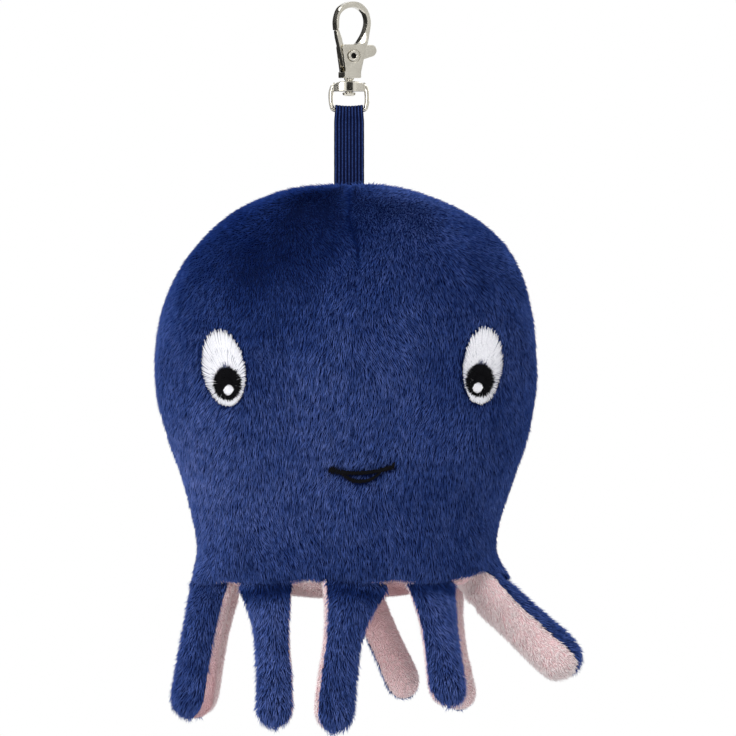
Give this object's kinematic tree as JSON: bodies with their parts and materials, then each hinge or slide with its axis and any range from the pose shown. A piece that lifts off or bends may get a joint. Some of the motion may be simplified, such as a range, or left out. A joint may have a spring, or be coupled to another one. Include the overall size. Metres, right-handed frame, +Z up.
{
  "type": "bag charm",
  "caption": "Stuffed navy octopus with pale pink undersides, hung from a snap clasp by a folded elastic strap on a swivel ring.",
  "frame": {"origin": "the point inside the hook's crown that the charm hangs from, on the swivel's axis", "axes": "+X to the right seen from the face's side, +Y away from the viewer, +Z up along the hanging line"},
  "size_m": [0.1423, 0.0904, 0.243],
  "materials": {
    "nickel": "polished",
    "spring_steel": "satin",
    "navy_elastic": "matte",
    "navy_plush": "matte",
    "pink_plush": "matte",
    "fibre_fill": "matte",
    "white_thread": "satin",
    "black_thread": "satin"
  },
  "bodies": {
    "clasp_hook": {"hook_body": "nickel", "pivot_rivet": "nickel", "gate_spring": "spring_steel"},
    "gate": {"gate_lever": "nickel"},
    "ring": {"swivel_ring": "nickel"},
    "strap": {"strap": "navy_elastic"},
    "plush": {"strap_tail": "navy_elastic", "head_front": "navy_plush", "head_back": "navy_plush", "head_stuffing": "fibre_fill", "base_panel": "pink_plush", "eye_white_left": "white_thread", "pupil_left": "black_thread", "glint_left": "white_thread", "eye_white_right": "white_thread", "pupil_right": "black_thread", "glint_right": "white_thread", "mouth": "black_thread"},
    "tentacle_1": {"tentacle_1_outer": "navy_plush", "tentacle_1_inner": "pink_plush", "tentacle_1_fill": "fibre_fill"},
    "tentacle_2": {"tentacle_2_outer": "navy_plush", "tentacle_2_inner": "pink_plush", "tentacle_2_fill": "fibre_fill"},
    "tentacle_3": {"tentacle_3_outer": "navy_plush", "tentacle_3_inner": "pink_plush", "tentacle_3_fill": "fibre_fill"},
    "tentacle_4": {"tentacle_4_outer": "navy_plush", "tentacle_4_inner": "pink_plush", "tentacle_4_fill": "fibre_fill"},
    "tentacle_5": {"tentacle_5_outer": "navy_plush", "tentacle_5_inner": "pink_plush", "tentacle_5_fill": "fibre_fill"},
    "tentacle_6": {"tentacle_6_outer": "navy_plush", "tentacle_6_inner": "pink_plush", "tentacle_6_fill": "fibre_fill"},
    "tentacle_7": {"tentacle_7_outer": "navy_plush", "tentacle_7_inner": "pink_plush", "tentacle_7_fill": "fibre_fill"},
    "tentacle_8": {"tentacle_8_outer": "navy_plush", "tentacle_8_inner": "pink_plush", "tentacle_8_fill": "fibre_fill"}
  },
  "joints": [
    {"name": "gate_hinge", "type": "hinge", "parent": "clasp_hook", "child": "gate", "pos_m": [0.00046, 0.0002, -0.0162], "axis": [-0.4067, 0.9135, 0], "range_deg": [0, 24], "stiffness_Nm_per_rad": 0.02, "springref_deg": -20.05},
    {"name": "swivel", "type": "hinge", "parent": "clasp_hook", "child": "ring", "pos_m": [0, 0, -0.0246], "axis": [0, 0, 1], "continuous": true},
    {"name": "strap_on_ring", "type": "hinge", "parent": "ring", "child": "strap", "pos_m": [0, 0, -0.0342], "axis": [1, 0, 0], "range_deg": [-90, 90]},
    {"name": "strap_root", "type": "hinge", "parent": "strap", "child": "plush", "pos_m": [0, 0, -0.059], "axis": [1, 0, 0], "range_deg": [-45, 45]},
    {"name": "tentacle_1_swing", "type": "hinge", "parent": "plush", "child": "tentacle_1", "pos_m": [-0.04733, -0.00542, -0.1948], "axis": [-0.7746, 0.6268, 0.0847], "range_deg": [-15, 40], "stiffness_Nm_per_rad": 0.004},
    {"name": "tentacle_2_swing", "type": "hinge", "parent": "plush", "child": "tentacle_2", "pos_m": [-0.02686, -0.02301, -0.1948], "axis": [-0.9126, 0.3981, -0.0935], "range_deg": [-10, 40], "stiffness_Nm_per_rad": 0.004},
    {"name": "tentacle_3_swing", "type": "hinge", "parent": "plush", "child": "tentacle_3", "pos_m": [0.00057, -0.02808, -0.1948], "axis": [-0.9904, -0.0215, 0.1362], "range_deg": [-10, 40], "stiffness_Nm_per_rad": 0.004},
    {"name": "tentacle_4_swing", "type": "hinge", "parent": "plush", "child": "tentacle_4", "pos_m": [0.02858, -0.0212, -0.1948], "axis": [-0.877, -0.475, 0.0718], "range_deg": [-25, 30], "stiffness_Nm_per_rad": 0.004},
    {"name": "tentacle_5_swing", "type": "hinge", "parent": "plush", "child": "tentacle_5", "pos_m": [0.04606, 0.00109, -0.1948], "axis": [0.4087, -0.8431, 0.3496], "range_deg": [-25, 10], "stiffness_Nm_per_rad": 0.004},
    {"name": "tentacle_6_swing", "type": "hinge", "parent": "plush", "child": "tentacle_6", "pos_m": [0.03198, 0.01916, -0.1948], "axis": [0.9801, -0.1595, 0.1184], "range_deg": [-15, 40], "stiffness_Nm_per_rad": 0.004},
    {"name": "tentacle_7_swing", "type": "hinge", "parent": "plush", "child": "tentacle_7", "pos_m": [0.00215, 0.02803, -0.1948], "axis": [0.8778, 0.1639, 0.4502], "range_deg": [-15, 35], "stiffness_Nm_per_rad": 0.004},
    {"name": "tentacle_8_swing", "type": "hinge", "parent": "plush", "child": "tentacle_8", "pos_m": [-0.04219, 0.01143, -0.1948], "axis": [0.5813, 0.8135, -0.0199], "range_deg": [-15, 40], "stiffness_Nm_per_rad": 0.004}
  ]
}
